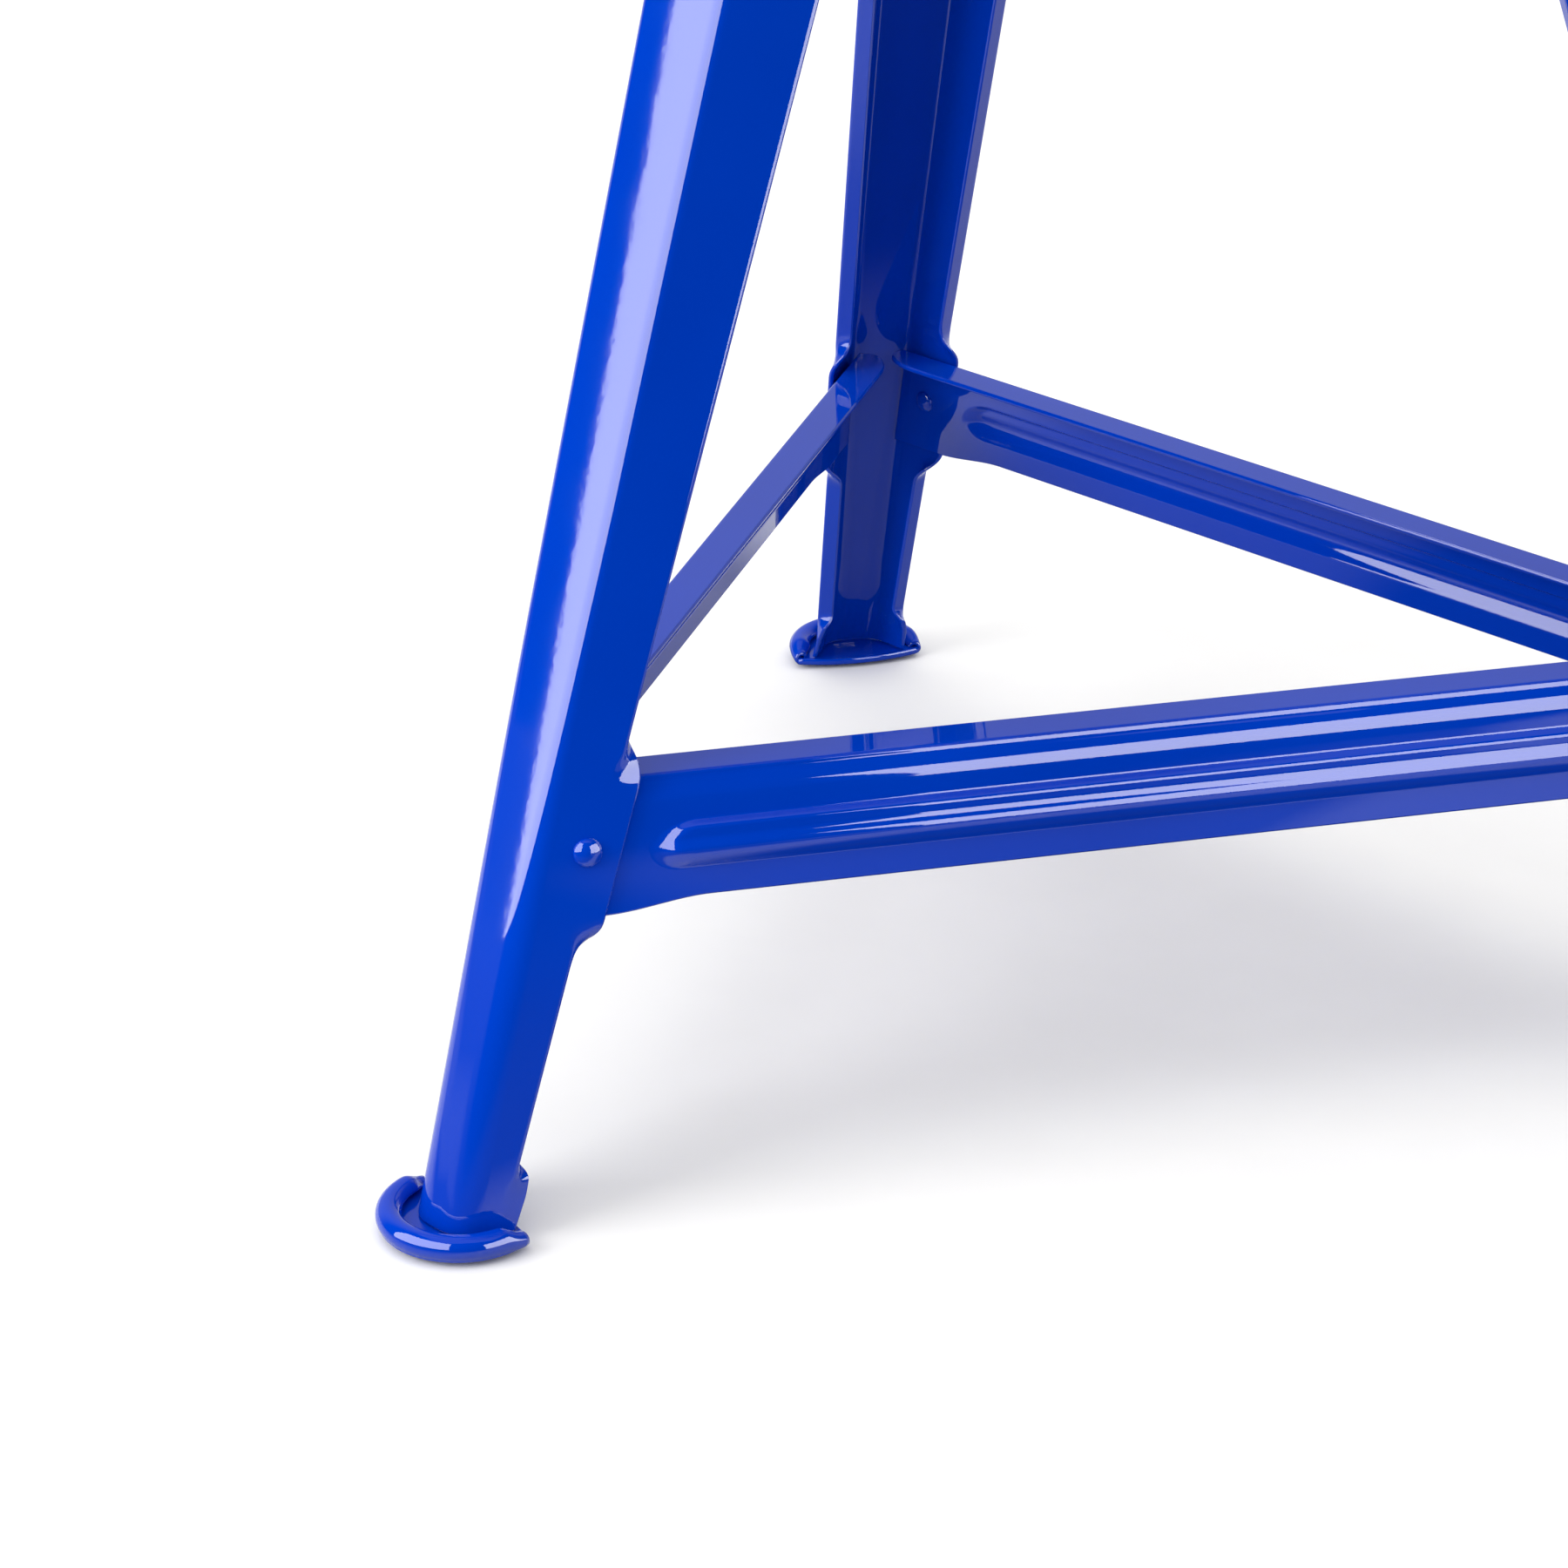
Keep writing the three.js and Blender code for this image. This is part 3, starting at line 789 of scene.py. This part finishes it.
def add_floor():
    mesh = bpy.data.meshes.new("floor")
    half = 15.0
    corners = [(-half, -half, 0), (half, -half, 0), (half, half, 0), (-half, half, 0)]
    mesh.from_pydata(corners, [], [(0, 1, 2, 3)])
    floor = bpy.data.objects.new("floor", mesh)
    bpy.context.scene.collection.objects.link(floor)
    material, nodes, links, shader = new_material("studio_floor")
    shader.inputs["Roughness"].default_value = 0.7
    shader.inputs["Specular IOR Level"].default_value = 0
    grain = object_noise(nodes, links, 30, 3)
    paper = ramp(nodes, links, grain, [(0.3, (0.875, 0.873, 0.858)), (0.7, (0.89, 0.888, 0.873))])
    links.new(paper, shader.inputs["Base Color"])
    # In mirror-like reflections the floor is painted dark except in patches of painted light: behind the
    # stool, to its left, and faintly in front. The patches are laid out to the right of, and away from, the
    # camera.
    coords = nodes.new("ShaderNodeTexCoord")

    def along(right, forward):
        dot = nodes.new("ShaderNodeVectorMath")
        dot.operation = "DOT_PRODUCT"
        direction = np.array(in_view_frame(right, forward, 0)) - np.array(in_view_frame(0, 0, 0))
        dot.inputs[1].default_value = direction
        links.new(coords.outputs["Object"], dot.inputs[0])
        return arithmetic(nodes, links, "SUBTRACT", dot.outputs["Value"], float(direction[1] * AXIS_Y * MM))

    def patch(*bounds):
        level = None
        for value, start, stop in bounds:
            edge = fade(nodes, links, value, start, stop)
            level = edge if level is None else arithmetic(nodes, links, "MULTIPLY", level, edge)
        return level

    def lit_by(patches):
        total = None
        for level, strength in patches:
            level = arithmetic(nodes, links, "MULTIPLY", level, strength)
            total = level if total is None else arithmetic(nodes, links, "MAXIMUM", total, level)
        return total

    right, forward, slant = along(1, 0), along(0, 1), along(0.62, 1)
    lit = lit_by([
        (patch((slant, -0.32, -0.27)), 1),
        (patch((right, -0.25, -0.35), (right, -0.9, -0.45), (forward, -0.35, -0.2)), 0.36),
        (patch((right, 0.05, 0.12), (forward, -0.64, -0.57)), 0.3),
        (patch((forward, -0.6, -0.2)), 0.12),
    ])

    def clear_of(place, inner, outer, least):
        gap = nodes.new("ShaderNodeVectorMath")
        gap.operation = "DISTANCE"
        gap.inputs[1].default_value = in_view_frame(*place, 0)
        links.new(coords.outputs["Object"], gap.inputs[0])
        edge = fade(nodes, links, gap.outputs["Value"], inner, outer)
        return arithmetic(nodes, links, "MULTIPLY_ADD", edge, 1 - least, least)

    # Painted shade in the floor's reflections: darker under the stool and near its axis.
    painted_shade_under_stool = clear_of((-0.03, 0.1), 0.13, 0.19, 0.45)
    painted_shade_near_axis = clear_of((0.05, -0.06), 0.13, 0.17, 0.05)
    shade = arithmetic(nodes, links, "MULTIPLY", painted_shade_under_stool, painted_shade_near_axis)
    lit = arithmetic(nodes, links, "MULTIPLY", lit, shade)
    unlit = arithmetic(nodes, links, "SUBTRACT", 1, lit)
    ray = nodes.new("ShaderNodeLightPath")
    mirrored = arithmetic(nodes, links, "MULTIPLY", unlit, ray.outputs["Is Glossy Ray"])
    bounced = arithmetic(nodes, links, "MULTIPLY", ray.outputs["Is Diffuse Ray"], DIMMED_BOUNCE)
    both = arithmetic(nodes, links, "MAXIMUM", mirrored, bounced)
    # The black that paints this shade into the floor, for reflections of unlit floor and for bounced light.
    dark = nodes.new("ShaderNodeBsdfDiffuse")
    dark.inputs["Color"].default_value = (0, 0, 0, 1)
    mix = nodes.new("ShaderNodeMixShader")
    links.new(both, mix.inputs["Fac"])
    links.new(shader.outputs["BSDF"], mix.inputs[1])
    links.new(dark.outputs["BSDF"], mix.inputs[2])
    links.new(mix.outputs[0], nodes["Material Output"].inputs["Surface"])
    mesh.materials.append(material)


WALL, HORIZON, ZENITH = 0.52, 0.78, 1.33      # strengths of the studio's surroundings


def add_world():
    world = bpy.data.worlds.new("studio")
    bpy.context.scene.world = world
    world.use_nodes = True
    nodes, links = world.node_tree.nodes, world.node_tree.links
    background = nodes["Background"]
    background.inputs["Color"].default_value = (1, 1, 1, 1)
    ray = nodes.new("ShaderNodeLightPath")
    # Glossy rays see darkness except for a pale wall behind the stool; other rays see a brighter zenith.
    coords = nodes.new("ShaderNodeTexCoord")
    facing = nodes.new("ShaderNodeVectorMath")
    facing.operation = "DOT_PRODUCT"
    bearing = math.radians(VIEW_BEARING)
    facing.inputs[1].default_value = (math.sin(bearing), math.cos(bearing), 0)
    links.new(coords.outputs["Generated"], facing.inputs[0])
    behind = fade(nodes, links, facing.outputs["Value"], 0.35, 0.75)
    wall = arithmetic(nodes, links, "MULTIPLY", behind, WALL)
    split = nodes.new("ShaderNodeSeparateXYZ")
    links.new(coords.outputs["Generated"], split.inputs["Vector"])
    sky = arithmetic(nodes, links, "MULTIPLY_ADD", split.outputs["Z"], ZENITH - HORIZON, HORIZON)
    mix = nodes.new("ShaderNodeMix")
    links.new(ray.outputs["Is Glossy Ray"], mix.inputs["Factor"])
    links.new(sky, mix.inputs["A"])
    links.new(wall, mix.inputs["B"])
    links.new(mix.outputs["Result"], background.inputs["Strength"])


def add_lights():
    add_softbox("overhead", (0.1, 0.1, 2.2), (-0.05, -0.05, -1), (2.2, 2.2), 8, top=(0, 1, 0))
    add_softbox("left_fill", (-1.35, -0.65, 0.75), (1.35, 0.6, -0.55), (0.85, 0.85), 14, seen_by=("diffuse",))
    # The rear edge of the left glint leans back as it rises.
    corner = np.array([-1.0, -0.160, 0.03])
    along, up = np.array([0.549, -0.814, 0.187]), np.array([0, 0.224, 0.975])
    width, height = 1.15, 1.1
    centre = corner + along * width / 2 + up * height / 2
    add_softbox("left_glint", centre, np.cross(up, along), (width, height), 33, top=up, seen_by=("glossy",))
    add_softbox("right_glint", (0.955, -0.625, 0.5), (-0.90, 0.433, 0), (1.55, 1.0), 47, seen_by=("glossy",))


add_legs()
add_rails()
add_rivets()
add_feet()
add_seat()
add_screws()
add_camera()
add_floor()
add_world()
add_lights()
bpy.context.scene.view_settings.view_transform = "Standard"
